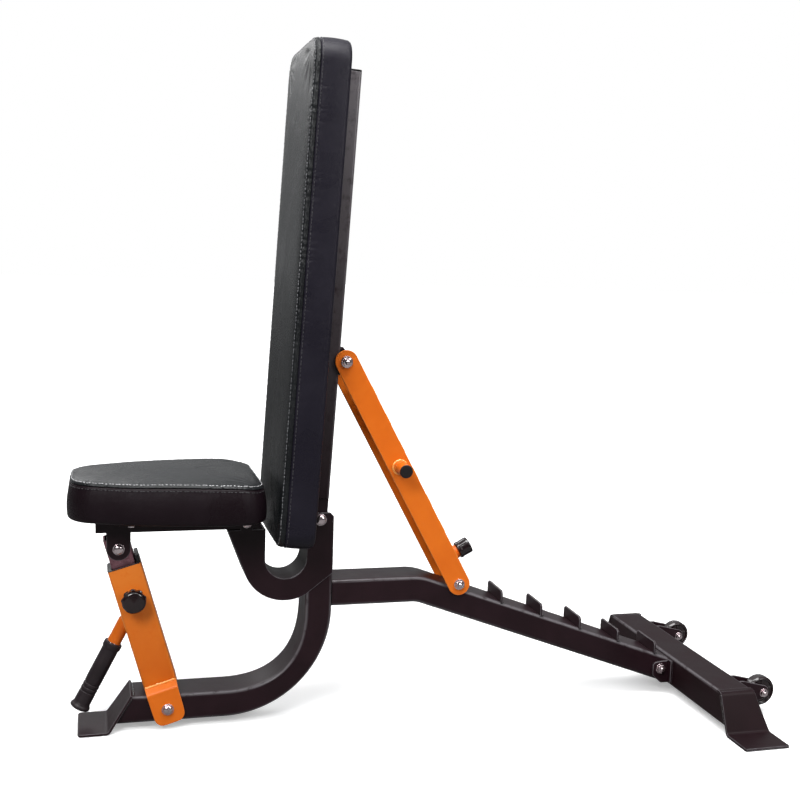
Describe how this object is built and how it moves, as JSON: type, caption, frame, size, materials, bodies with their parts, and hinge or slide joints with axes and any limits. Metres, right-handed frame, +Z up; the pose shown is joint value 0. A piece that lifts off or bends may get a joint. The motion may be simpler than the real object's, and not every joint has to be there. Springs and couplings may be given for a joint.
{
  "type": "adjustable weight bench",
  "caption": "Adjustable weight bench with a bent box-tube frame, reclining back on a ladder of catches, tilting seat on a telescopic post, and transport wheels.",
  "frame": {"origin": "on the floor, midway between the seat's nose and the backs of the wheels, on the bench's centre plane", "axes": "+X from the seat end to the wheel end, +Y across the bench, +Z up"},
  "size_m": [1.339, 0.672, 1.2349],
  "materials": {
    "black_frame": "satin black powder coat with a fine texture",
    "orange_paint": "semi-gloss orange powder coat",
    "bright_hardware": "bright zinc and chrome plating",
    "steel_bar": "drawn bright steel",
    "black_plastic": "satin moulded plastic",
    "wheel_plastic": "glossy moulded plastic",
    "grip_rubber": "moulded rubber grip",
    "vinyl": "grained black upholstery vinyl",
    "plywood": "birch plywood pad boards"
  },
  "bodies": {
    "frame": {"lower_tube": "black_frame", "hook_side_left": "black_frame", "hook_side_right": "black_frame", "hook_inner_liner": "black_frame", "hook_outer_liner": "black_frame", "upright_rear_liner": "black_frame", "rear_beam": "black_frame", "front_foot": "black_frame", "low_rib": "black_frame", "catch_1": "black_frame", "catch_2": "black_frame", "catch_3": "black_frame", "catch_4": "black_frame", "catch_5": "black_frame", "rear_foot_beam": "black_frame", "rear_foot_plate_left": "black_frame", "rear_foot_plate_right": "black_frame", "foot_bracket": "black_frame", "foot_bracket_bolts": "bright_hardware", "wheel_brackets": "black_frame", "wheel_axles": "bright_hardware", "post_pivot_bolt": "bright_hardware", "seat_hinge_bolt": "bright_hardware", "back_hinge_bolt": "bright_hardware"},
    "wheel_left_body": {"wheel_left": "wheel_plastic"},
    "wheel_right_body": {"wheel_right": "wheel_plastic"},
    "seat": {"seat_frame": "black_frame", "seat_clevis": "black_frame", "clevis_bolt": "bright_hardware", "seat_board": "plywood", "seat_cushion": "vinyl", "seat_screws": "bright_hardware"},
    "seat_post": {"post_tube": "orange_paint", "post_ear_left": "orange_paint", "post_ear_right": "orange_paint", "post_insert": "black_plastic", "post_handle": "orange_paint", "handle_grip": "grip_rubber", "seat_knob_barrel": "orange_paint"},
    "seat_bar": {"inner_bar": "steel_bar"},
    "seat_pull_knob": {"seat_knob": "black_plastic", "seat_knob_pin": "bright_hardware"},
    "backrest": {"back_frame": "black_frame", "back_brackets": "black_frame", "strut_lug": "black_frame", "strut_top_bolt": "bright_hardware", "back_board": "plywood", "back_cushion": "vinyl", "back_screws": "bright_hardware"},
    "back_strut": {"strut_plate_left": "orange_paint", "strut_plate_right": "orange_paint", "strut_web": "orange_paint", "strut_cross_rod": "black_frame", "strut_foot_pin": "bright_hardware", "strut_handles": "orange_paint", "strut_handle_caps": "black_plastic", "strut_knob_barrel": "orange_paint"},
    "strut_pull_knob": {"strut_knob": "black_plastic", "strut_knob_pin": "bright_hardware"}
  },
  "joints": [
    {"name": "backrest_hinge", "type": "hinge", "parent": "frame", "child": "backrest", "pos_m": [-0.2195, 0, 0.382], "axis": [0, 1, 0], "range_deg": [0, 83.3]},
    {"name": "back_strut_hinge", "type": "hinge", "parent": "backrest", "child": "back_strut", "pos_m": [-0.17956, 0, 0.67601], "axis": [0, 1, 0], "range_deg": [-110.11, 0]},
    {"name": "strut_knob_pull", "type": "slide", "parent": "back_strut", "child": "strut_pull_knob", "axis": [0.8786, 0, 0.4775], "range_m": [0, 0.012], "stiffness_N_per_m": 600, "springref_m": -0.006},
    {"name": "seat_hinge", "type": "hinge", "parent": "frame", "child": "seat", "pos_m": [-0.3565, 0, 0.381], "axis": [0, 1, 0], "range_deg": [0, 16]},
    {"name": "seat_post_hinge", "type": "hinge", "parent": "frame", "child": "seat_post", "pos_m": [-0.4955, 0, 0.039], "axis": [0, 1, 0], "range_deg": [0, 2.56]},
    {"name": "seat_bar_slide", "type": "slide", "parent": "seat_post", "child": "seat_bar", "axis": [-0.2811, 0, 0.9597], "range_m": [0, 0.0651]},
    {"name": "seat_knob_pull", "type": "slide", "parent": "seat_post", "child": "seat_pull_knob", "axis": [0, -1, 0], "range_m": [0, 0.012], "stiffness_N_per_m": 600, "springref_m": -0.006},
    {"name": "wheel_left_spin", "type": "hinge", "parent": "frame", "child": "wheel_left_body", "pos_m": [0.6405, 0.17, 0.046], "axis": [0, 1, 0], "continuous": true},
    {"name": "wheel_right_spin", "type": "hinge", "parent": "frame", "child": "wheel_right_body", "pos_m": [0.6405, -0.17, 0.046], "axis": [0, 1, 0], "continuous": true}
  ],
  "couplings": [
    {"joint": "back_strut_hinge", "follows": "backrest_hinge", "ratio": -1.3098},
    {"joint": "seat_post_hinge", "follows": "seat_hinge", "ratio": 0.129},
    {"joint": "seat_bar_slide", "follows": "seat_hinge", "m_per_rad": 0.226}
  ]
}
